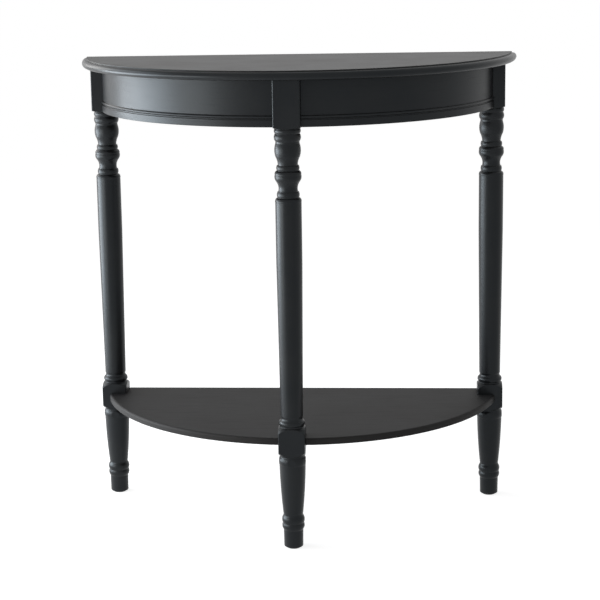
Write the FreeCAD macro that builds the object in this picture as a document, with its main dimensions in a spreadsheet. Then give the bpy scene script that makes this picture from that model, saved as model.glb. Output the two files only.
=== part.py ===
import FreeCAD, Part
import math
import os
from types import SimpleNamespace

import Sketcher

# Half-round console table with three turned legs, a moulded curved apron and a lower shelf.
# Millimetres. X runs to the right, Y towards the wall and Z up, and the origin lies on the floor under
# the middle of the table. Plan sizes are measured forward from the top's straight back edge. Every curve
# in plan is struck from one centre, a little behind the middle of that edge.

SIZES = {
    # Table top
    "centre_setback": 34.1,
    "top_overhang": 34.9,
    "top_thickness": 16.0,
    "top_arris_inset": 8.5,
    "top_quirk_depth": 2.3,
    "top_quirk_width": 2.5,
    "top_nose_tuck": 4.5,
    # Aprons and back rail
    "apron_radius": 366.6,
    "apron_thickness": 18.0,
    "apron_height": 80.0,
    "band_height": 12.0,
    "band_projection": 2.0,
    "groove_height": 2.2,
    "bead_height": 5.3,
    "bead_projection": 2.4,
    "back_overhang": 12.0,
    "rail_setback": 6.0,
    "rail_thickness": 18.0,
    "rail_height": 70.0,
    # Legs
    "leg_length": 814.5,
    "leg_block": 46.0,
    "leg_arris": 2.0,
    "front_leg_proud": 18.9,
    "rear_leg_reveal": 22.0,
    "top_block_length": 82.0,
    "shelf_block_length": 51.2,
    # Upper turning, from the apron block down
    "top_shoulder_rise": 3.5,
    "block_bead_root_diameter": 42.6,
    "block_bead_length": 8.6,
    "block_bead_diameter": 45.2,
    "top_groove_diameter": 41.9,
    "top_bead_length": 13.1,
    "top_bead_diameter": 45.5,
    "bulb_groove_length": 3.0,
    "bulb_groove_diameter": 40.7,
    "bulb_length": 22.2,
    "bulb_diameter": 44.7,
    "bulb_foot_diameter": 41.5,
    "neck_length": 15.2,
    "neck_diameter": 33.5,
    "collar_length": 8.6,
    "collar_diameter": 39.2,
    "collar_root_diameter": 37.0,
    "vase_shoulder_length": 7.1,
    "vase_diameter": 44.7,
    "vase_belly_length": 11.2,
    "vase_belly_diameter": 40.5,
    "waist_length": 17.8,
    "waist_diameter": 33.8,
    "ring_length": 9.7,
    "ring_diameter": 38.6,
    "ring_root_diameter": 36.6,
    "shaft_shoulder_length": 7.6,
    "shaft_diameter": 44.5,
    "shaft_straight_length": 102.5,
    "shaft_foot_diameter": 38.8,
    "flare_length": 8.5,
    "flare_diameter": 42.8,
    "low_ring_length": 8.0,
    "low_ring_diameter": 45.1,
    "low_groove_length": 2.1,
    "low_groove_diameter": 42.0,
    "block_shoulder_length": 13.8,
    # Foot turning, from the shelf block down
    "foot_groove_length": 2.0,
    "foot_groove_diameter": 43.3,
    "foot_shoulder_length": 15.0,
    "foot_diameter": 45.9,
    "foot_taper_length": 87.5,
    "ankle_diameter": 34.9,
    "ankle_cove_length": 6.5,
    "ankle_root_diameter": 36.7,
    "ankle_bead_length": 11.9,
    "ankle_bead_diameter": 39.7,
    "toe_bead_length": 10.8,
    "toe_bead_diameter": 39.3,
    "toe_bead_root_diameter": 36.0,
    "toe_cove_length": 3.5,
    "toe_top_diameter": 34.3,
    "toe_length": 27.0,
    "toe_diameter": 33.4,
    "toe_round": 2.0,
    # Shelf
    "shelf_projection": 7.5,
    "shelf_thickness": 11.5,
    "shelf_round": 4.0,
    "shelf_clearance": 0.2,
    # Inner blocks
    "block_height": 60.0,
    "corner_gap": 5.0,
    "corner_thickness": 25.0,
    "brace_half_width": 70.0,
    # Fasteners
    "dowel_diameter": 8.0,
    "dowel_length": 28.0,
    "dowel_top_distance": 20.0,
    "dowel_spacing": 36.0,
    "shelf_dowel_diameter": 6.0,
    "shelf_dowel_length": 28.0,
    "bolt_diameter": 6.0,
    "bolt_bite": 30.0,
    "bolt_tip": 4.0,
    "bolt_spare": 4.0,
    "washer_diameter": 18.0,
    "washer_thickness": 1.6,
    "nut_diameter": 11.5,
    "nut_height": 5.0,
    "screw_diameter": 4.0,
    "screw_length": 45.0,
    "screw_bite": 11.0,
    "screw_tip": 3.0,
    "screw_head_diameter": 8.0,
    "screw_head_height": 3.0,
    "corner_screw_offset": 28.0,
    "brace_screw_offset": 45.0,
    # Foot glides
    "glide_height": 2.0,
    "glide_diameter": 24.0,
    "nail_diameter": 3.0,
    "nail_length": 14.0,
    # Clearances
    "hole_clearance": 0.1,
    "bore_clearance": 1.0,
    "depth_clearance": 1.0,
}

SHOULDER_BULGE = 0.09
FOOT_BULGE = 0.01
QUARTER_BULGE = 0.2
GENTLE_BULGE = 0.12
NECK_BULGE = 0.06
RIM_TURNS = [math.radians(degrees) for degrees in (0, 30, 60, 90)]
UP = FreeCAD.Vector(0, 0, 1)
LEFT, RIGHT = -1, 1

doc = FreeCAD.newDocument("DemiluneTable")
sheet = doc.addObject("Spreadsheet::Sheet", "Sizes")
for row, (alias, number) in enumerate(SIZES.items(), start=1):
    sheet.set(f"A{row}", str(number))
    sheet.setAlias(f"A{row}", alias)
doc.recompute()

nodes = []


class Size:
    """A number together with the sheet formula that gives it."""

    def __init__(self, value, formula):
        self.value = value
        self.formula = formula

    def joined(self, other, sign, value):
        return Size(value, f"({self.formula} {sign} {other.formula})")

    def __add__(self, other):
        other = as_size(other)
        return self.joined(other, "+", self.value + other.value)

    def __sub__(self, other):
        other = as_size(other)
        return self.joined(other, "-", self.value - other.value)

    def __mul__(self, other):
        other = as_size(other)
        return self.joined(other, "*", self.value * other.value)

    def __truediv__(self, other):
        other = as_size(other)
        return self.joined(other, "/", self.value / other.value)

    def __rsub__(self, other):
        return as_size(other) - self

    def __neg__(self):
        return self * -1

    __radd__ = __add__
    __rmul__ = __mul__


def as_size(number):
    """A plain number as a Size whose formula is the number itself."""
    if isinstance(number, Size):
        return number
    return Size(float(number), f"({number})" if number < 0 else f"{number}")


def root(square):
    return Size(math.sqrt(square.value), f"sqrt({square.formula})")


def total(*lengths):
    """The sum of several sizes."""
    result = lengths[0]
    for length in lengths[1:]:
        result = result + length
    return result


size = SimpleNamespace(**{alias: Size(float(getattr(sheet, alias)), f"Sizes.{alias}") for alias in SIZES})


class Outline:
    """A chain of lines and arcs in a sketch, with every corner and arc crest bound to its formula."""

    def __init__(self, sketch, x, y):
        self.sketch = sketch
        self.corners = [(as_size(x), as_size(y))]
        self.crests = []
        self.rules = []

    def line(self, x, y):
        self.corners.append((as_size(x), as_size(y)))
        self.crests.append(None)

    def arc(self, crest, end):
        self.corners.append((as_size(end[0]), as_size(end[1])))
        self.crests.append((as_size(crest[0]), as_size(crest[1])))

    def fix(self, geometry, vertex, point):
        """Ties a vertex to its coordinates, or to the axis that it lies on."""
        for kind, axis, coordinate in zip(("DistanceX", "DistanceY"), (-2, -1), point):
            if coordinate.formula in ("0", "0.0"):
                self.rules.append((Sketcher.Constraint("PointOnObject", geometry, vertex, axis), None))
            else:
                rule = Sketcher.Constraint(kind, -1, 1, geometry, vertex, coordinate.value)
                self.rules.append((rule, coordinate.formula))

    def draw(self):
        """Draws the chain and closes it by a line back to its first corner."""
        self.crests.append(None)
        ends = []
        for index, crest in enumerate(self.crests):
            start = self.vector(self.corners[index])
            end = self.vector(self.corners[(index + 1) % len(self.corners)])
            if crest is None:
                edge = self.sketch.addGeometry(Part.LineSegment(start, end), False)
                first, last = 1, 2
            else:
                edge = self.sketch.addGeometry(Part.Arc(start, self.vector(crest), end), False)
                forward = self.sketch.getPoint(edge, 1).isEqual(start, 1e-6)
                first, last = (1, 2) if forward else (2, 1)
                mark = self.sketch.addGeometry(Part.Point(self.vector(crest)), True)
                self.fix(mark, 1, crest)
                self.rules.append((Sketcher.Constraint("PointOnObject", mark, 1, edge), None))
            self.fix(edge, first, self.corners[index])
            ends.append((edge, first, last))
        for here, following in zip(ends, ends[1:] + ends[:1]):
            rule = Sketcher.Constraint("Coincident", here[0], here[2], following[0], following[1])
            self.rules.append((rule, None))
        self.sketch.addConstraint([rule for rule, formula in self.rules])
        for index, (rule, formula) in enumerate(self.rules):
            if formula is not None:
                self.sketch.setExpression(f"Constraints[{index}]", formula)

    @staticmethod
    def vector(point):
        return FreeCAD.Vector(point[0].value, point[1].value, 0)


class Turning(Outline):
    """A lathe cut drawn downwards: radius across, height up, lengths along the leg."""

    def step(self, diameter):
        self.line(diameter / 2, self.corners[-1][1])

    def taper(self, length, diameter):
        self.line(diameter / 2, self.corners[-1][1] - length)

    def bead(self, length, end_diameter, crest_diameter):
        """A round swelling whose widest point lies halfway down."""
        height = self.corners[-1][1]
        self.arc((crest_diameter / 2, height - length / 2), (end_diameter / 2, height - length))

    def bow(self, length, end_radius, bulge):
        """An arc that stands off its chord by a share of the chord, outwards where bulge is positive."""
        radius, height = self.corners[-1]
        across = end_radius - radius
        crest_radius = radius + across / 2 + length * bulge
        crest_height = height - length / 2 + across * bulge
        self.arc((crest_radius, crest_height), (end_radius, height - length))


def add_body(name):
    return doc.addObject("PartDesign::Body", name)


def add_sketch(body, name, role="XY_Plane"):
    """A sketch on one of the body's own origin planes."""
    sketch = body.newObject("Sketcher::SketchObject", name)
    plane = next(feature for feature in body.Origin.OriginFeatures if feature.Role == role)
    sketch.AttachmentSupport = [(plane, "")]
    sketch.MapMode = "FlatFace"
    return sketch


def add_pad(body, sketch, length):
    pad = body.newObject("PartDesign::Pad", "Pad")
    pad.Profile = sketch
    pad.setExpression("Length", length.formula)
    return pad


def add_revolution(body, sketch, angle, reverse):
    """Turns the sketch's section about its upright axis, through the given angle."""
    turn = body.newObject("PartDesign::Revolution", "Revolution")
    turn.Profile = sketch
    turn.ReferenceAxis = (sketch, ["V_Axis"])
    turn.Angle = angle
    turn.Reversed = reverse
    return turn


def add_fillet(body, base, edges, radius):
    """Rounds the base feature's edges that the given test picks."""
    doc.recompute()
    names = [f"Edge{index}" for index, edge in enumerate(base.Shape.Edges, start=1) if edges(edge)]
    fillet = body.newObject("PartDesign::Fillet", "Fillet")
    fillet.Base = (base, names)
    fillet.setExpression("Radius", radius.formula)
    return fillet


def add_groove(body, sketch):
    """Turns the sketch's section off the body, all the way round its upright axis."""
    doc.recompute()
    before = body.Shape.Volume
    groove = body.newObject("PartDesign::Groove", "Groove")
    groove.Profile = sketch
    groove.ReferenceAxis = (sketch, ["V_Axis"])
    groove.Angle = 360.0
    doc.recompute()
    if groove.Shape.Volume >= before:
        raise RuntimeError(f"{body.Label}: {sketch.Label} cut nothing")
    return groove


def place(part, origin, direction=UP):
    """Binds a part's origin and turns its own Z axis to a direction."""
    part.Placement = FreeCAD.Placement(FreeCAD.Vector(), FreeCAD.Rotation(UP, direction))
    for axis, coordinate in zip("xyz", origin):
        part.setExpression(f"Placement.Base.{axis}", as_size(coordinate).formula)


def add_cylinder(name, diameter, length, origin, direction=UP):
    rod = doc.addObject("Part::Cylinder", name)
    rod.setExpression("Radius", (diameter / 2).formula)
    rod.setExpression("Height", length.formula)
    place(rod, origin, direction)
    return rod


def drill(name, seats, diameter, length, into=1):
    """Holes that start at the mouths of the seats and run along, or with -1 against, their directions."""
    return [
        add_cylinder(f"{name}_{index}", diameter, length, origin, direction * into)
        for index, (origin, direction) in enumerate(seats)
    ]


def add_cone(name, diameter, tip_diameter, length, origin, direction=UP):
    cone = doc.addObject("Part::Cone", name)
    cone.setExpression("Radius1", (diameter / 2).formula)
    cone.setExpression("Radius2", (tip_diameter / 2).formula)
    cone.setExpression("Height", length.formula)
    place(cone, origin, direction)
    return cone


def add_box(name, lengths, origin):
    box = doc.addObject("Part::Box", name)
    for side, length in zip(("Length", "Width", "Height"), lengths):
        box.setExpression(side, length.formula)
    place(box, origin)
    return box


def add_group(name, pieces):
    group = doc.addObject("Part::Compound", name)
    group.Links = pieces
    return group


def add_cut(name, base, tools):
    cut = doc.addObject("Part::Cut", name)
    cut.Base = base
    cut.Tool = add_group(f"{name}_tools", tools)
    return cut


def add_fuse(name, pieces):
    fuse = doc.addObject("Part::MultiFuse", name)
    fuse.Shapes = pieces
    return fuse


def add_node(part, label):
    part.Label = label
    nodes.append(part)


def along(origin, direction, distance):
    """A point at a bound distance from another, along a fixed direction."""
    return tuple(start + distance * step for start, step in zip(origin, direction))


# Plan and heights
top_radius = size.apron_radius + size.top_overhang
depth = top_radius - size.centre_setback
inner_radius = size.apron_radius - size.apron_thickness
middle_radius = size.apron_radius - size.apron_thickness / 2
shelf_radius = size.apron_radius + size.shelf_projection
half_block = size.leg_block / 2
clear_radius = size.leg_block * 0.75
hole_diameter = size.dowel_diameter + size.hole_clearance

leg_top = size.glide_height + size.leg_length
apron_bottom = leg_top - size.apron_height
block_bottom = leg_top - size.block_height
bolt_height = leg_top - size.apron_height / 2
dowel_heights = [leg_top - size.dowel_top_distance]
dowel_heights.append(dowel_heights[0] - size.dowel_spacing)

foot_length = total(
    size.foot_groove_length,
    size.foot_shoulder_length,
    size.foot_taper_length,
    size.ankle_cove_length,
    size.ankle_bead_length,
    size.toe_bead_length,
    size.toe_cove_length,
    size.toe_length,
    size.toe_round,
)
shelf_middle = size.glide_height + foot_length + size.shelf_block_length / 2
shelf_bottom = shelf_middle - size.shelf_thickness / 2


def arc_x(radius, forward):
    """How far to the side a plan curve of the radius lies, a given distance forward of the back edge."""
    return root(radius * radius - (forward + size.centre_setback) * (forward + size.centre_setback))


def arc_forward(radius, x):
    """How far forward of the back edge a plan curve of the radius lies at a given x."""
    return root(radius * radius - x * x) - size.centre_setback


rear_face = size.back_overhang + size.leg_block
rear_forward = size.back_overhang + half_block
rear_x = arc_x(size.apron_radius, rear_face) + size.rear_leg_reveal - half_block
inner_x = rear_x - half_block
front_forward = arc_forward(size.apron_radius, as_size(0)) + size.front_leg_proud - half_block
front_back = front_forward - half_block
rail_back = size.back_overhang + size.rail_setback
rail_front = rail_back + size.rail_thickness


def plan(x, forward, height):
    """World coordinates of a point given by x, distance forward of the back edge and height."""
    return (as_size(x), depth / 2 - forward, as_size(height))


# Table top
def build_top():
    """A half disc with a step and a round nose at the rim, sawn off along the back edge."""
    body = add_body("TopBody")
    sketch = add_sketch(body, "TopSection", "XZ_Plane")
    thickness = size.top_thickness
    ledge = thickness - size.top_quirk_depth
    arris = top_radius - size.top_arris_inset
    rim = Outline(sketch, 0, 0)
    rim.line(top_radius - size.top_nose_tuck, 0)
    rim.arc((top_radius, ledge / 2), (arris + size.top_quirk_width, ledge))
    rim.line(arris, ledge)
    rim.line(arris, thickness)
    rim.line(0, thickness)
    rim.draw()
    add_revolution(body, sketch, 180.0, reverse=True)
    place(body, plan(0, -size.centre_setback, leg_top))
    waste = add_box("TopWaste", (top_radius * 4, top_radius, thickness), plan(top_radius * -2, 0, leg_top))
    pilot = size.screw_diameter + size.hole_clearance
    bite = size.screw_bite + size.depth_clearance
    mouths = [(plan(*place_in_plan, leg_top), UP) for place_in_plan in screw_places]
    holes = drill("TopPilot", mouths, pilot, bite)
    add_node(add_cut("Top", body, [waste] + holes), "table_top")


# Aprons
def build_apron(label, side):
    """A rail turned round the front quarter, trimmed to the two legs that it runs between."""
    body = add_body(f"{label}_body")
    radius = size.apron_radius
    profile = add_sketch(body, "ApronSection", "YZ_Plane")
    band = size.band_height
    bead_bottom = band + size.groove_height
    bead_top = bead_bottom + size.bead_height
    section = Outline(profile, -inner_radius, 0)
    section.line(-radius - size.band_projection, 0)
    section.line(-radius - size.band_projection, band)
    section.line(-radius, band)
    section.line(-radius, bead_bottom)
    section.arc((-radius - size.bead_projection, (bead_bottom + bead_top) / 2), (-radius, bead_top))
    section.line(-radius, size.apron_height)
    section.line(-inner_radius, size.apron_height)
    section.draw()
    add_revolution(body, profile, 90.0, reverse=side == LEFT)
    place(body, plan(0, -size.centre_setback, apron_bottom))

    reach = top_radius
    box_x = half_block if side == RIGHT else -half_block - reach
    corner = plan(box_x, rear_face + reach, apron_bottom)
    room = add_box(f"{label}_room", (reach, reach, size.apron_height), corner)
    trimmed = doc.addObject("Part::Common", f"{label}_trimmed")
    trimmed.Base = body
    trimmed.Tool = room
    holes = drill(f"{label}_hole", apron_dowel_seats(side), hole_diameter, dowel_hole_depth)
    add_node(add_cut(f"{label}_drilled", trimmed, holes), label)


def apron_dowel_seats(side):
    """Mouths and directions of the dowel holes in an apron: two at the front leg, two at the rear leg."""
    half_depth = size.dowel_length / 4
    front_x = half_block + half_depth
    front = arc_forward(middle_radius, front_x)
    rear = arc_x(middle_radius, rear_face + half_depth)
    seats = []
    for height in dowel_heights:
        seats.append((plan(side * half_block, front, height), FreeCAD.Vector(side, 0, 0)))
        seats.append((plan(side * rear, rear_face, height), FreeCAD.Vector(0, -1, 0)))
    return seats


# Back rail
def rail_dowel_seats(side):
    """Mouths and directions of the dowel holes in one end of the back rail."""
    forward = rail_back + size.rail_thickness / 2
    inwards = FreeCAD.Vector(-side, 0, 0)
    return [(plan(side * inner_x, forward, height), inwards) for height in dowel_heights]


def build_back_rail():
    """A straight board between the two rear legs, set in from their back faces."""
    body = add_body("RailBody")
    sketch = add_sketch(body, "RailPlan")
    board = Outline(sketch, -inner_x, -rail_back)
    board.line(inner_x, -rail_back)
    board.line(inner_x, -rail_front)
    board.line(-inner_x, -rail_front)
    board.draw()
    add_pad(body, sketch, size.rail_height)
    place(body, plan(0, 0, leg_top - size.rail_height))
    seats = rail_dowel_seats(LEFT) + rail_dowel_seats(RIGHT)
    holes = drill("RailHole", seats, hole_diameter, dowel_hole_depth)
    add_node(add_cut("Rail", body, holes), "back_rail")


# Legs
def draw_upper_turning(sketch):
    """The cut between the apron block and the shelf block: two beads, bulb, collar, vase, ring, shaft."""
    block_end = size.leg_length - size.top_block_length
    shelf_block_top = foot_length + size.shelf_block_length
    cut = Turning(sketch, clear_radius, block_end + size.top_shoulder_rise)
    cut.taper(size.top_shoulder_rise, size.block_bead_root_diameter)
    cut.bead(size.block_bead_length, size.top_groove_diameter, size.block_bead_diameter)
    cut.bead(size.top_bead_length, size.bulb_groove_diameter, size.top_bead_diameter)
    cut.taper(size.bulb_groove_length, size.bulb_groove_diameter)
    cut.bead(size.bulb_length, size.bulb_foot_diameter, size.bulb_diameter)
    cut.bow(size.neck_length, size.neck_diameter / 2, -NECK_BULGE)
    cut.step(size.collar_root_diameter)
    cut.bead(size.collar_length, size.collar_root_diameter, size.collar_diameter)
    cut.bow(size.vase_shoulder_length, size.vase_diameter / 2, QUARTER_BULGE)
    cut.bow(size.vase_belly_length, size.vase_belly_diameter / 2, GENTLE_BULGE)
    cut.bow(size.waist_length, size.waist_diameter / 2, -GENTLE_BULGE)
    cut.step(size.ring_root_diameter)
    cut.bead(size.ring_length, size.ring_root_diameter, size.ring_diameter)
    cut.bow(size.shaft_shoulder_length, size.shaft_diameter / 2, QUARTER_BULGE)
    cut.taper(size.shaft_straight_length, size.shaft_diameter)
    below = total(size.flare_length, size.low_ring_length, size.low_groove_length)
    cut.line(size.shaft_foot_diameter / 2, shelf_block_top + below)
    cut.bow(size.flare_length, size.flare_diameter / 2, -QUARTER_BULGE)
    cut.bead(size.low_ring_length, size.low_groove_diameter, size.low_ring_diameter)
    cut.taper(size.low_groove_length, size.low_groove_diameter)
    cut.bow(size.block_shoulder_length, clear_radius, SHOULDER_BULGE)
    cut.draw()


def draw_foot_turning(sketch):
    """The cut below the shelf block: long tapered foot, two ankle beads and a plain toe."""
    below_floor = size.toe_round
    cut = Turning(sketch, clear_radius, foot_length + size.block_shoulder_length)
    cut.bow(size.block_shoulder_length, size.foot_groove_diameter / 2, SHOULDER_BULGE)
    cut.taper(size.foot_groove_length, size.foot_groove_diameter)
    cut.bow(size.foot_shoulder_length, size.foot_diameter / 2, GENTLE_BULGE)
    cut.bow(size.foot_taper_length, size.ankle_diameter / 2, FOOT_BULGE)
    cut.bow(size.ankle_cove_length, size.ankle_root_diameter / 2, -GENTLE_BULGE)
    cut.bead(size.ankle_bead_length, size.ankle_root_diameter, size.ankle_bead_diameter)
    cut.bead(size.toe_bead_length, size.toe_bead_root_diameter, size.toe_bead_diameter)
    cut.bow(size.toe_cove_length, size.toe_top_diameter / 2, -GENTLE_BULGE)
    cut.taper(size.toe_length, size.toe_diameter)
    cut.bow(size.toe_round, size.toe_diameter / 2 - size.toe_round, QUARTER_BULGE)
    cut.taper(below_floor, size.toe_diameter - size.toe_round * 2)
    cut.step(clear_radius * 2)
    cut.draw()


def build_leg(label, x, forward, holes):
    """A square blank with eased arrises, turned between its two blocks and below them, then drilled."""
    body = add_body(f"{label}_body")
    sketch = add_sketch(body, "LegBlank")
    blank = Outline(sketch, -half_block, -half_block)
    blank.line(half_block, -half_block)
    blank.line(half_block, half_block)
    blank.line(-half_block, half_block)
    blank.draw()
    pad = add_pad(body, sketch, size.leg_length)

    def upright(edge):
        return edge.BoundBox.ZLength > size.leg_length.value / 2

    add_fillet(body, pad, upright, size.leg_arris)
    for name, draw in (("UpperTurning", draw_upper_turning), ("FootTurning", draw_foot_turning)):
        section = add_sketch(body, name, "XZ_Plane")
        draw(section)
        add_groove(body, section)
    place(body, plan(x, forward, size.glide_height))
    nail_hole = add_cylinder(
        f"{label}_nail_hole",
        size.nail_diameter + size.hole_clearance,
        size.nail_length + size.depth_clearance,
        plan(x, forward, size.glide_height),
    )
    add_node(add_cut(f"{label}_drilled", body, holes + [nail_hole]), label)


def leg_holes(label, rail_seats, shelf_seat, bolt_seat):
    """The holes in a leg that face the holes of its rails, its shelf dowel and its hanger bolt."""
    rail_holes = drill(f"{label}_hole", rail_seats, hole_diameter, dowel_hole_depth, -1)
    shelf_holes = drill(f"{label}_shelf_hole", [shelf_seat], shelf_hole_diameter, shelf_hole_depth, -1)
    origin, direction = bolt_seat
    bore = size.bolt_diameter + size.hole_clearance
    length = size.bolt_bite + size.depth_clearance + size.leg_arris
    mouth = along(origin, -direction, size.leg_arris)
    bolt_holes = drill(f"{label}_bolt_hole", [(mouth, direction)], bore, length)
    return rail_holes + shelf_holes + bolt_holes


# Shelf
def build_shelf():
    """A round board whose upper rim is eased, sawn off at the back and cut away round the leg blocks."""
    body = add_body("ShelfBody")
    sketch = add_sketch(body, "ShelfSection", "XZ_Plane")
    thickness = size.shelf_thickness
    rim = Outline(sketch, 0, 0)
    rim.line(shelf_radius, 0)
    for turn in RIM_TURNS:
        inset = size.shelf_round * (1 - math.cos(turn))
        drop = size.shelf_round * (1 - math.sin(turn))
        rim.line(shelf_radius - inset, thickness - drop)
    rim.line(0, thickness)
    rim.draw()
    add_revolution(body, sketch, 180.0, reverse=True)
    place(body, plan(0, -size.centre_setback, shelf_bottom))

    clearance = size.shelf_clearance
    side_x = inner_x - clearance
    ear = rear_face + clearance
    notch_x = half_block + clearance
    notch = front_back - clearance
    reach = shelf_radius * 2
    waste = [
        add_box("ShelfBack", (reach * 2, reach, thickness), plan(-reach, size.back_overhang, shelf_bottom)),
        add_box("ShelfLeft", (reach, reach, thickness), plan(-side_x - reach, ear, shelf_bottom)),
        add_box("ShelfRight", (reach, reach, thickness), plan(side_x, ear, shelf_bottom)),
        add_box("ShelfFront", (notch_x * 2, reach, thickness), plan(-notch_x, notch + reach, shelf_bottom)),
    ]
    holes = drill("ShelfHole", shelf_seats.values(), shelf_hole_diameter, shelf_hole_depth)
    add_node(add_cut("Shelf", body, waste + holes), "shelf")


# Inner blocks
def corner_block_point(distance):
    """Where a line at 45 degrees, so far inside the leg's corner, meets the apron's inner face."""
    offset = rear_face - inner_x + distance * DIAGONAL
    lead = offset + size.centre_setback
    x = (root(2 * inner_radius * inner_radius - lead * lead) - lead) / 2
    return x, x + offset


def drill_block(name, body, bolt_seat, places, label):
    """Bores a block for its hanger bolt and for the counterbored screws that hold the top."""
    origin, direction = bolt_seat
    bore = size.bolt_diameter + size.bore_clearance
    length = grip + size.depth_clearance * 2
    holes = [add_cylinder(f"{name}Bolt", bore, length, along(origin, -direction, length), direction)]
    seat = leg_top + size.screw_bite - size.screw_length
    shank = size.screw_diameter + size.hole_clearance
    head = size.screw_head_diameter + size.bore_clearance
    starts = [(plan(*place_in_plan, seat), UP) for place_in_plan in places]
    holes += drill(f"{name}Shank", starts, shank, size.block_height)
    mouths = [(plan(*place_in_plan, block_bottom), UP) for place_in_plan in places]
    holes += drill(f"{name}Head", mouths, head, seat - block_bottom)
    add_node(add_cut(name, body, holes), label)


def build_corner_block(label, side, bolt_seat, screw_place):
    """A board set at 45 degrees between the back rail and the apron, across the inside of a rear corner."""
    body = add_body(f"{label}_body")
    sketch = add_sketch(body, "BlockPlan")
    near, middle, far = (
        corner_block_point(distance)
        for distance in (size.corner_gap, size.corner_gap + size.corner_thickness / 2, grip)
    )
    near_rail = near[0] - near[1] + rail_front
    far_rail = far[0] - far[1] + rail_front
    outline = Outline(sketch, side * far_rail, -rail_front)
    outline.line(side * near_rail, -rail_front)
    outline.line(side * near[0], -near[1])
    outline.arc((side * middle[0], -middle[1]), (side * far[0], -far[1]))
    outline.draw()
    add_pad(body, sketch, size.block_height)
    place(body, plan(0, 0, block_bottom))
    drill_block(f"{label}_drilled", body, bolt_seat, [screw_place], label)


def build_front_brace(bolt_seat, places):
    """A block behind the front leg whose curved shoulders bear on the inner faces of both aprons."""
    body = add_body("BraceBody")
    sketch = add_sketch(body, "BracePlan")
    half = size.brace_half_width
    notch_x = half_block + size.shelf_clearance
    back = front_back - grip
    middle = (half + notch_x) / 2
    crest = (middle, -arc_forward(inner_radius, middle))
    outer = arc_forward(inner_radius, half)
    inner = arc_forward(inner_radius, notch_x)
    outline = Outline(sketch, -half, -back)
    outline.line(half, -back)
    outline.line(half, -outer)
    outline.arc(crest, (notch_x, -inner))
    outline.line(notch_x, -front_back)
    outline.line(-notch_x, -front_back)
    outline.line(-notch_x, -inner)
    outline.arc((-crest[0], crest[1]), (-half, -outer))
    outline.draw()
    add_pad(body, sketch, size.block_height)
    place(body, plan(0, 0, block_bottom))
    drill_block("Brace", body, bolt_seat, places, "front_brace_block")


# Fasteners
def build_dowels(label, seats, diameter, length):
    """Dowels that lie half in the piece behind each seat and half in the leg in front of it."""
    starts = [(along(origin, direction, -length / 2), direction) for origin, direction in seats]
    add_node(add_group(f"{label}_group", drill(label, starts, diameter, length)), label)


def build_hanger_bolts():
    """A bolt, washer and nut at each leg: screw end in the leg, machine end through the block."""
    bolts, washers, nuts = [], [], []
    diameter = size.bolt_diameter
    bore = diameter + size.hole_clearance
    thickness = size.washer_thickness
    outside = total(grip, size.washer_thickness, size.nut_height, size.bolt_spare)
    shank = outside + size.bolt_bite - size.bolt_tip
    for name, (origin, direction) in bolt_seats.items():
        start = along(origin, direction, -outside)
        rod = add_cylinder(f"BoltRod_{name}", diameter, shank, start, direction)
        tip_origin = along(start, direction, shank)
        tip = add_cone(f"BoltTip_{name}", diameter, diameter / 4, size.bolt_tip, tip_origin, direction)
        bolts.append(add_fuse(f"Bolt_{name}", [rod, tip]))

        washer_origin = along(origin, direction, -grip - thickness)
        disc = add_cylinder(f"WasherDisc_{name}", size.washer_diameter, thickness, washer_origin, direction)
        eye = add_cylinder(f"WasherEye_{name}", bore, thickness, washer_origin, direction)
        washers.append(add_cut(f"Washer_{name}", disc, [eye]))

        nut_origin = along(washer_origin, direction, -size.nut_height)
        hexagon = doc.addObject("Part::Prism", f"NutHexagon_{name}")
        hexagon.Polygon = 6
        hexagon.setExpression("Circumradius", (size.nut_diameter / 2).formula)
        hexagon.setExpression("Height", size.nut_height.formula)
        place(hexagon, nut_origin, direction)
        thread = add_cylinder(f"NutThread_{name}", bore, size.nut_height, nut_origin, direction)
        nuts.append(add_cut(f"Nut_{name}", hexagon, [thread]))
    add_node(add_group("Bolts", bolts), "hanger_bolts")
    add_node(add_group("Washers", washers), "hanger_bolt_washers")
    add_node(add_group("Nuts", nuts), "hanger_bolt_nuts")


def build_top_screws():
    """Screws driven up through the inner blocks into the top."""
    screws = []
    diameter = size.screw_diameter
    head_height = size.screw_head_height
    seat = leg_top + size.screw_bite - size.screw_length
    shank_length = size.screw_length - size.screw_tip
    for index, place_in_plan in enumerate(screw_places):
        head_origin = plan(*place_in_plan, seat - head_height)
        head = add_cylinder(f"ScrewHead{index}", size.screw_head_diameter, head_height, head_origin)
        shank = add_cylinder(f"ScrewShank{index}", diameter, shank_length, plan(*place_in_plan, seat))
        tip_origin = plan(*place_in_plan, seat + shank_length)
        tip = add_cone(f"ScrewTip{index}", diameter, diameter / 4, size.screw_tip, tip_origin)
        screws.append(add_fuse(f"Screw{index}", [head, shank, tip]))
    add_node(add_group("Screws", screws), "top_fixing_screws")


def build_glide(label, x, forward):
    """A flat disc under the toe, held by its own nail."""
    disc = add_cylinder(f"{label}_disc", size.glide_diameter, size.glide_height, plan(x, forward, 0))
    nail_start = plan(x, forward, size.glide_height)
    nail = add_cylinder(f"{label}_nail", size.nail_diameter, size.nail_length, nail_start)
    add_node(add_fuse(f"{label}_fused", [disc, nail]), label)


# Seats shared by the pieces that meet there: a mouth on the joint face and the direction into the rail,
# shelf or leg
DIAGONAL = math.sqrt(2)
dowel_hole_depth = size.dowel_length / 2 + size.depth_clearance
shelf_hole_diameter = size.shelf_dowel_diameter + size.hole_clearance
shelf_hole_depth = size.shelf_dowel_length / 2 + size.depth_clearance
grip = size.corner_gap + size.corner_thickness

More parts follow.
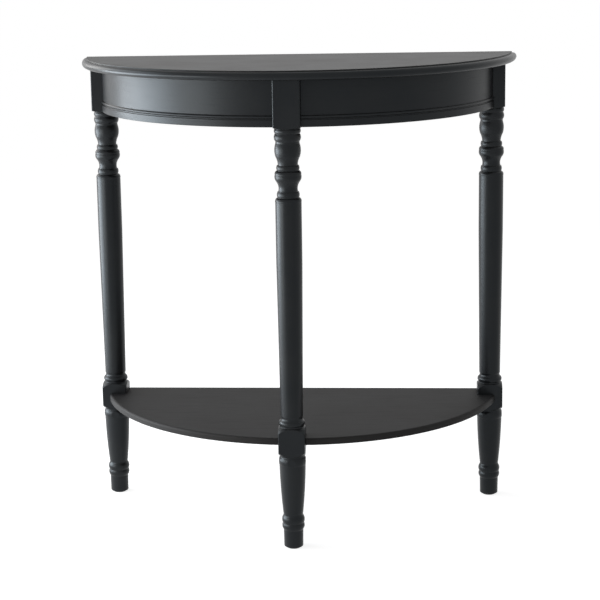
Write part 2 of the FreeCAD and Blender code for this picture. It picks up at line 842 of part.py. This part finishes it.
shelf_seats = {
    "front": (plan(0, front_back, shelf_middle), FreeCAD.Vector(0, 1, 0)),
    "left": (plan(-inner_x, rear_forward, shelf_middle), FreeCAD.Vector(1, 0, 0)),
    "right": (plan(inner_x, rear_forward, shelf_middle), FreeCAD.Vector(-1, 0, 0)),
}
bolt_seats = {
    "front": (plan(0, front_back, bolt_height), FreeCAD.Vector(0, -1, 0)),
    "left": (plan(-inner_x, rear_face, bolt_height), FreeCAD.Vector(-1, 1, 0).normalize()),
    "right": (plan(inner_x, rear_face, bolt_height), FreeCAD.Vector(1, 1, 0).normalize()),
}
diagonal_run = (size.corner_gap + size.corner_thickness / 2) / DIAGONAL
screw_run = size.corner_screw_offset / DIAGONAL
corner_screw = (inner_x - diagonal_run - screw_run, rear_face + diagonal_run - screw_run)
brace_screw = (size.brace_screw_offset, front_back - grip / 2)
screw_places = [(side * x, forward) for x, forward in (corner_screw, brace_screw) for side in (LEFT, RIGHT)]

left_apron_seats = apron_dowel_seats(LEFT)
right_apron_seats = apron_dowel_seats(RIGHT)
front_seats = left_apron_seats[0::2] + right_apron_seats[0::2]

build_top()
build_apron("left_apron", LEFT)
build_apron("right_apron", RIGHT)
build_back_rail()
front_holes = leg_holes("front_leg", front_seats, shelf_seats["front"], bolt_seats["front"])
build_leg("front_leg", as_size(0), front_forward, front_holes)
for name, side, apron_seats in (("left", LEFT, left_apron_seats), ("right", RIGHT, right_apron_seats)):
    rear_seats = apron_seats[1::2] + rail_dowel_seats(side)
    rear_holes = leg_holes(f"{name}_rear_leg", rear_seats, shelf_seats[name], bolt_seats[name])
    build_leg(f"{name}_rear_leg", side * rear_x, rear_forward, rear_holes)
build_shelf()
build_corner_block("left_corner_block", LEFT, bolt_seats["left"], screw_places[0])
build_corner_block("right_corner_block", RIGHT, bolt_seats["right"], screw_places[1])
build_front_brace(bolt_seats["front"], screw_places[2:])
build_dowels("apron_dowels", left_apron_seats + right_apron_seats, size.dowel_diameter, size.dowel_length)
rail_seats = rail_dowel_seats(LEFT) + rail_dowel_seats(RIGHT)
build_dowels("back_rail_dowels", rail_seats, size.dowel_diameter, size.dowel_length)
build_dowels("shelf_dowels", shelf_seats.values(), size.shelf_dowel_diameter, size.shelf_dowel_length)
build_hanger_bolts()
build_top_screws()
build_glide("front_foot_glide", as_size(0), front_forward)
build_glide("left_foot_glide", -rear_x, rear_forward)
build_glide("right_foot_glide", rear_x, rear_forward)

doc.recompute()
failed = [item.Label for item in doc.Objects if {"Invalid", "Error"} & set(item.State)]
failed += [node.Label for node in nodes if node.Shape.isNull() or not node.Shape.isValid()]
if failed:
    raise RuntimeError("failed: " + ", ".join(failed))

os.makedirs("parts", exist_ok=True)
for node in nodes:
    node.Shape.exportStep(f"parts/{node.Label}.step")
    print(f"{node.Label}: {len(node.Shape.Solids)} solids, {node.Shape.Volume / 1000:.1f} cm3")
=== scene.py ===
import math

import bpy
import numpy as np
from mathutils import Matrix, Vector


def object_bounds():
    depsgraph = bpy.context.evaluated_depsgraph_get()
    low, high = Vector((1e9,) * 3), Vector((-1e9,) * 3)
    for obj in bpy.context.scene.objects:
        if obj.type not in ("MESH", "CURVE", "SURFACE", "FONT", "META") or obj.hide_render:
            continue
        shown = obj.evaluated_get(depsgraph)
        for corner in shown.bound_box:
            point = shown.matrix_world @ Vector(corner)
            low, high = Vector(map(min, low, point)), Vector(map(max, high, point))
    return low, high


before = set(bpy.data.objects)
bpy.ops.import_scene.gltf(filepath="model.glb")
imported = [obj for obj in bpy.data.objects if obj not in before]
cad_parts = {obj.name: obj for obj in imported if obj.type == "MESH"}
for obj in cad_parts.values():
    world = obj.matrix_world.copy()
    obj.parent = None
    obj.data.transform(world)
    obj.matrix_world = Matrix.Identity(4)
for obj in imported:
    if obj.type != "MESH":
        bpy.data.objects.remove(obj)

cad_low, cad_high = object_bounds()

# The curves of the top, aprons and shelf are struck from one centre behind the straight back edge.
CENTRE_SETBACK = 0.0341
CURVE_CENTRE_Y = cad_high.y + CENTRE_SETBACK

# Grain: coordinates along the wood are multiplied by a factor, which draws the pattern out that way.
# Round a curved rail they are distances along an arc of this radius.
ALONG_GRAIN = 0.03
UNROLL_RADIUS = 0.37

# Black paint: its colours, the tints of its sheen and the wear of its edges
BLACK = (0.006, 0.0063, 0.007, 1)
CHARCOAL = (0.0105, 0.0105, 0.0108, 1)
UNDERCOAT = (0.075, 0.066, 0.058, 1)
COOL_SHEEN = (0.9, 1.0, 1.07, 1)
WARM_SHEEN = (1.05, 1.0, 0.96, 1)
PAINT_SPECULAR = 0.2
EDGE_RADIUS = 0.0012
EDGE_SAMPLES = 6
EDGE_WEAR = 0.55

# The flat of the table top carries a painted warm reflection, partly even and partly in patches. It fades
# in between two depths below the highest point, so that the moulded rim keeps its plain paint.
# Colour of the painted warm reflection on the flat of the table top
PAINTED_WARM_REFLECTION = (0.030, 0.0262, 0.0235, 1)
EVEN_PAINTED_REFLECTION = 0.3
PATCHY_PAINTED_REFLECTION = 0.35
PAINTED_REFLECTION_BEGINS = 0.003
PAINTED_REFLECTION_IS_FULL = 0.001

# Pieces that aren't painted
PALE_BLOCK = (0.55, 0.40, 0.25, 1)
DARK_BLOCK = (0.40, 0.27, 0.15, 1)
PALE_DOWEL = (0.62, 0.46, 0.30, 1)
DARK_DOWEL = (0.48, 0.33, 0.19, 1)
TIMBER_SPECULAR = 0.3
DULL_ZINC = (0.50, 0.51, 0.53, 1)
BRIGHT_ZINC = (0.68, 0.69, 0.70, 1)
DARK_PLASTIC = (0.016, 0.016, 0.017, 1)
PALE_PLASTIC = (0.03, 0.03, 0.03, 1)


class Signal:
    """A shader socket that can stand in Python arithmetic: each operation adds a Math node."""

    def __init__(self, shading, socket):
        self.shading = shading
        self.socket = socket

    def __add__(self, other):
        return self.shading.maths("ADD", self, other)

    def __sub__(self, other):
        return self.shading.maths("SUBTRACT", self, other)

    def __rsub__(self, other):
        return self.shading.maths("SUBTRACT", other, self)

    def __mul__(self, other):
        return self.shading.maths("MULTIPLY", self, other)

    __radd__ = __add__
    __rmul__ = __mul__


class Shading:
    """A node tree being put together for a finish, the floor or the surroundings."""

    def __init__(self, tree, output="OutputMaterial"):
        self.tree = tree
        self.output = output
        tree.nodes.clear()

    def node(self, kind, settings, inputs, output=0):
        """Adds a node: first its settings, then a value or a link for each of its sockets."""
        node = self.tree.nodes.new(f"ShaderNode{kind}")
        for name, value in settings.items():
            setattr(node, name, value)
        for socket, value in inputs.items():
            if isinstance(value, Signal):
                self.tree.links.new(value.socket, node.inputs[socket])
            else:
                node.inputs[socket].default_value = value
        return Signal(self, node.outputs[output]) if node.outputs else None

    def maths(self, operation, *values):
        """One operation on numbers."""
        return self.node("Math", {"operation": operation}, dict(enumerate(values)))

    def position(self):
        """Where a point lies on its piece, in metres."""
        return self.node("TexCoord", {}, {}, "Object")

    def normal(self):
        """Which way the surface faces, with no relief on it."""
        return self.node("NewGeometry", {}, {}, "Normal")

    def split(self, vector):
        """The three numbers of a vector."""
        return [self.node("SeparateXYZ", {}, {0: vector}, axis) for axis in "XYZ"]

    def scaled(self, vector, scale):
        """A vector with each of its numbers multiplied by its own factor."""
        return self.node("Mapping", {"vector_type": "POINT"}, {"Vector": vector, "Scale": scale})

    def noise(self, vector, scale, detail):
        """Cloudy values about one half, with about so many clouds to the metre as scale says."""
        return self.node("TexNoise", {}, {"Vector": vector, "Scale": scale, "Detail": detail})

    def step(self, value, low, high):
        """A smooth step from 0 at low to 1 at high."""
        settings = {"interpolation_type": "SMOOTHSTEP"}
        return self.node("MapRange", settings, {"Value": value, "From Min": low, "From Max": high})

    def blend(self, factor, first, second):
        """The first colour where the factor is 0 and the second where it is 1."""
        return self.node("Mix", {"data_type": "RGBA"}, {0: factor, 6: first, 7: second}, 2)

    def bump(self, height, depth, normal):
        """A relief of this depth in metres on a surface that faces along normal."""
        return self.node("Bump", {}, {"Height": height, "Distance": depth, "Normal": normal})

    def surface(self, shader):
        """Ends the tree with a shader."""
        self.node(self.output, {}, {"Surface": shader})

    def principled(self, inputs):
        """Ends the tree with a Principled shader."""
        self.surface(self.node("BsdfPrincipled", {}, inputs))


def new_finish(name):
    """An empty material and the node tree to put it together in."""
    material = bpy.data.materials.new(name)
    material.use_nodes = True
    return material, Shading(material.node_tree)


def grey(level):
    """A colour with no hue."""
    return (level, level, level, 1)


def along_length(shading):
    """Grain coordinates of a board that lies along X."""
    return shading.scaled(shading.position(), (ALONG_GRAIN, 1, 1))


def along_height(shading):
    """Grain coordinates of an upright."""
    return shading.scaled(shading.position(), (1, 1, ALONG_GRAIN))


def along_curve(shading):
    """Grain coordinates of a curved rail: distance round the curve's centre, distance from it, height."""
    x, y, z = shading.split(shading.position())
    forward = CURVE_CENTRE_Y - y
    angle = shading.maths("ARCTAN2", x, forward)
    radius = shading.maths("SQRT", x * x + forward * forward)
    unrolled = shading.node("CombineXYZ", {}, {0: angle * UNROLL_RADIUS, 1: radius, 2: z})
    return shading.scaled(unrolled, (ALONG_GRAIN, 1, 1))


def satin_paint(name, grain, roughness, tint=COOL_SHEEN, dulled_with_painted_reflection=0.0):
    """Black paint over wood: faint grain and brushed texture under it, a worn line along sharp edges.

    Where dulled isn't 0, the flat of the table top is rougher by that much and carries a painted warm
    reflection.
    """
    mottle_dulling, pore_dulling, speck_dulling = 0.12, 0.05, 0.03
    pore_depth, brush_depth, speck_depth = 0.00002, 0.000006, 0.000004
    pore_shade = 0.6

    material, shading = new_finish(name)
    position = shading.position()
    fibres = grain(shading)
    pores = shading.step(shading.noise(fibres, scale=420, detail=3), low=0.52, high=0.72)
    mottle = shading.noise(position, scale=13, detail=3)
    brushed = shading.noise(fibres, scale=1500, detail=1)
    specks = shading.noise(position, scale=900, detail=1)

    rounded = shading.node("Bevel", {"samples": EDGE_SAMPLES}, {"Radius": EDGE_RADIUS})
    sockets = {0: rounded, 1: shading.normal()}
    facing = shading.node("VectorMath", {"operation": "DOT_PRODUCT"}, sockets, "Value")
    edge = shading.step(1 - facing, low=0.03, high=0.3)
    rubbed = edge * shading.step(shading.noise(position, scale=70, detail=4), low=0.46, high=0.66)

    patches = shading.step(mottle, low=0.3, high=0.7) * (1 - pores * pore_shade)
    tone = shading.blend(patches, BLACK, CHARCOAL)
    sheen = roughness + (mottle - 0.5) * mottle_dulling + pores * pore_dulling + specks * speck_dulling
    # The flat of the table top: a painted warm reflection in its colour, and more roughness
    if dulled_with_painted_reflection:
        height = shading.split(position)[2]
        flat_of_top = shading.step(height, cad_high.z - PAINTED_REFLECTION_BEGINS, cad_high.z - PAINTED_REFLECTION_IS_FULL)
        tone = shading.blend(flat_of_top * (EVEN_PAINTED_REFLECTION + patches * PATCHY_PAINTED_REFLECTION), tone, PAINTED_WARM_REFLECTION)
        sheen = sheen + flat_of_top * dulled_with_painted_reflection

    relief = shading.bump(1 - pores, pore_depth, rounded)
    relief = shading.bump(brushed, brush_depth, relief)
    relief = shading.bump(specks, speck_depth, relief)
    shading.principled(
        {
            "Base Color": shading.blend(rubbed * EDGE_WEAR, tone, UNDERCOAT),
            "Roughness": sheen,
            "Specular IOR Level": PAINT_SPECULAR,
            "Specular Tint": tint,
            "Normal": relief,
        }
    )
    return material


def raw_timber(name, pale, dark, grain):
    """Planed, unfinished wood: soft bands of early and late growth with short dark pores."""
    band_shade, pore_shade = 0.7, 0.3
    roughness, band_dulling = 0.6, 0.12
    pore_depth = 0.00008

    material, shading = new_finish(name)
    fibres = grain(shading)
    bands = shading.step(shading.noise(fibres, scale=90, detail=4), low=0.35, high=0.65)
    pores = shading.step(shading.noise(fibres, scale=700, detail=2), low=0.6, high=0.75)
    shading.principled(
        {
            "Base Color": shading.blend(bands * band_shade + pores * pore_shade, pale, dark),
            "Roughness": roughness + bands * band_dulling,
            "Specular IOR Level": TIMBER_SPECULAR,
            "Normal": shading.bump(1 - pores, pore_depth, shading.normal()),
        }
    )
    return material


def zinc_plate(name):
    """Zinc-plated steel: cloudy grey with fine turning marks."""
    roughness, cloud_dulling = 0.3, 0.18
    mark_depth = 0.00003
    mark_scale = (1, 1, 8)

    material, shading = new_finish(name)
    position = shading.position()
    cloud = shading.noise(position, scale=160, detail=3)
    marks = shading.noise(shading.scaled(position, mark_scale), scale=900, detail=1)
    shading.principled(
        {
            "Base Color": shading.blend(cloud, DULL_ZINC, BRIGHT_ZINC),
            "Metallic": 1.0,
            "Roughness": roughness + cloud * cloud_dulling,
            "Normal": shading.bump(marks, mark_depth, shading.normal()),
        }
    )
    return material


def glide_plastic(name):
    """Moulded black plastic with a fine sparked texture."""
    roughness, spark_dulling = 0.5, 0.15
    spark_depth = 0.00004

    material, shading = new_finish(name)
    sparks = shading.noise(shading.position(), scale=1800, detail=2)
    shading.principled(
        {
            "Base Color": shading.blend(sparks, DARK_PLASTIC, PALE_PLASTIC),
            "Roughness": roughness + sparks * spark_dulling,
            "Normal": shading.bump(sparks, spark_depth, shading.normal()),
        }
    )
    return material


TOP_PAINT = satin_paint("top_paint", along_length, roughness=0.29, dulled_with_painted_reflection=0.14)
APRON_PAINT = satin_paint("apron_paint", along_curve, roughness=0.34)
RAIL_PAINT = satin_paint("rail_paint", along_length, roughness=0.45)
LEG_PAINT = satin_paint("leg_paint", along_height, roughness=0.33)
SHELF_PAINT = satin_paint("shelf_paint", along_length, roughness=0.6, tint=WARM_SHEEN)
BLOCK_WOOD = raw_timber("raw_wood", PALE_BLOCK, DARK_BLOCK, along_length)
DOWEL_WOOD = raw_timber("dowel_wood", PALE_DOWEL, DARK_DOWEL, along_length)
ZINC = zinc_plate("zinc_steel")
GLIDE = glide_plastic("glide_plastic")

FINISHES = {
    "table_top": TOP_PAINT,
    "left_apron": APRON_PAINT,
    "right_apron": APRON_PAINT,
    "back_rail": RAIL_PAINT,
    "front_leg": LEG_PAINT,
    "left_rear_leg": LEG_PAINT,
    "right_rear_leg": LEG_PAINT,
    "shelf": SHELF_PAINT,
    "left_corner_block": BLOCK_WOOD,
    "right_corner_block": BLOCK_WOOD,
    "front_brace_block": BLOCK_WOOD,
    "apron_dowels": DOWEL_WOOD,
    "back_rail_dowels": DOWEL_WOOD,
    "shelf_dowels": DOWEL_WOOD,
    "hanger_bolts": ZINC,
    "hanger_bolt_washers": ZINC,
    "hanger_bolt_nuts": ZINC,
    "top_fixing_screws": ZINC,
    "front_foot_glide": GLIDE,
    "left_foot_glide": GLIDE,
    "right_foot_glide": GLIDE,
}
for name, finish in FINISHES.items():
    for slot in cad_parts[name].material_slots:
        slot.material = finish

# White surroundings, which are seen at full strength but light the table with less
BACKDROP = grey(1)
BACKDROP_STRENGTH = 1.0
AMBIENT = 0.35


def seen_directly(shading):
    """1 for what the camera, a reflection or clear glass looks at, and 0 for light that only falls."""
    camera, glossy, clear = (
        shading.node("LightPath", {}, {}, name)
        for name in ("Is Camera Ray", "Is Glossy Ray", "Is Transmission Ray")
    )
    return shading.maths("MAXIMUM", shading.maths("MAXIMUM", camera, glossy), clear)


world = bpy.data.worlds.new("studio")
world.use_nodes = True
bpy.context.scene.world = world
studio = Shading(world.node_tree, "OutputWorld")
falling = studio.node("Background", {}, {"Color": BACKDROP, "Strength": AMBIENT})
backdrop = studio.node("Background", {}, {"Color": BACKDROP, "Strength": BACKDROP_STRENGTH})
studio.surface(studio.node("MixShader", {}, {0: seen_directly(studio), 1: falling, 2: backdrop}))

# Floor: what is seen of it is a grey that takes the table's shadow and a glow that makes up the rest of the
# white, as far as the surroundings light it.
FLOOR_HALF = 60.0
FLOOR_GREY = 0.5
FLOOR_GLOW = 1 - FLOOR_GREY * AMBIENT
FLOOR_BOUNCE = 0.8

corners = np.array([(-1, -1, 0), (1, -1, 0), (1, 1, 0), (-1, 1, 0)]) * FLOOR_HALF
floor_mesh = bpy.data.meshes.new("floor")
floor_mesh.from_pydata(corners.tolist(), [], [(0, 1, 2, 3)])
floor = bpy.data.objects.new("floor", floor_mesh)
bpy.context.scene.collection.objects.link(floor)

floor_material, ground = new_finish("floor")
bounce = ground.node("BsdfDiffuse", {}, {"Color": grey(FLOOR_BOUNCE)})
shaded = ground.node("BsdfDiffuse", {}, {"Color": grey(FLOOR_GREY)})
glow = ground.node("Emission", {}, {"Color": BACKDROP, "Strength": FLOOR_GLOW})
seen = ground.node("AddShader", {}, {0: shaded, 1: glow})
ground.surface(ground.node("MixShader", {}, {0: seen_directly(ground), 1: bounce, 2: seen}))
floor_mesh.materials.append(floor_material)

# Lamps: the key stays below the table top's plane, so the top can't mirror it. Power is in watts.
LAMPS = {
    "left_key": {
        "place": (-1.895, 0.13, 0.43),
        "target": (0, 0, 0.43),
        "width": 1.4,
        "height": 0.76,
        "power": 49,
        "colour": (0.89, 0.95, 1.0),
    },
    "left_high": {
        "place": (-1.85, 0.25, 1.5),
        "target": (0, 0, 0.8),
        "width": 1.4,
        "height": 0.9,
        "power": 13,
        "colour": (0.9, 0.95, 1.0),
    },
    "left_rear": {
        "place": (-1.556, 1.09, 1.15),
        "target": (0, 0, 0.6),
        "width": 0.8,
        "height": 0.8,
        "power": 7,
        "colour": (1.0, 0.98, 0.96),
    },
    "front_fill": {
        "place": (-1.6, -1.0, 0.45),
        "target": (0, 0, 0.5),
        "width": 0.9,
        "height": 0.8,
        "power": 15,
        "colour": (1.0, 0.98, 0.95),
    },
}


def soft_box(name, place, target, width, height, power, colour):
    """A flat rectangular lamp that faces a point on the table."""
    lamp = bpy.data.lights.new(name, "AREA")
    lamp.shape = "RECTANGLE"
    lamp.size = width
    lamp.size_y = height
    lamp.energy = power
    lamp.color = colour
    holder = bpy.data.objects.new(name, lamp)
    holder.location = place
    holder.rotation_euler = (Vector(target) - Vector(place)).to_track_quat("-Z", "Y").to_euler()
    bpy.context.scene.collection.objects.link(holder)


for name, settings in LAMPS.items():
    soft_box(name, **settings)

# Camera fitted to the photograph's edges: a square picture, with the angles in radians
SENSOR = 36.0
PICTURE = 600
FOCAL_PIXELS = 1704.0
MIDDLE = (262.47, 267.5)
YAW, PITCH, ROLL = -0.079976, 0.199756, 0.019231
STAND = Vector((0.180232, -2.964546, 1.070741))

lens = bpy.data.cameras.new("camera")
lens.sensor_width = SENSOR
lens.lens = FOCAL_PIXELS * SENSOR / PICTURE
lens.shift_x = 0.5 - MIDDLE[0] / PICTURE
lens.shift_y = MIDDLE[1] / PICTURE - 0.5
ahead = Vector((math.sin(YAW) * math.cos(PITCH), math.cos(YAW) * math.cos(PITCH), -math.sin(PITCH)))
level = Vector((math.cos(YAW), -math.sin(YAW), 0))
down = ahead.cross(level)
right = level * math.cos(ROLL) + down * math.sin(ROLL)
up = level * math.sin(ROLL) - down * math.cos(ROLL)
camera = bpy.data.objects.new("camera", lens)
camera.matrix_world = Matrix.Translation(STAND) @ Matrix((right, up, -ahead)).transposed().to_4x4()
bpy.context.scene.collection.objects.link(camera)
bpy.context.scene.camera = camera
bpy.context.scene.view_settings.view_transform = "Standard"
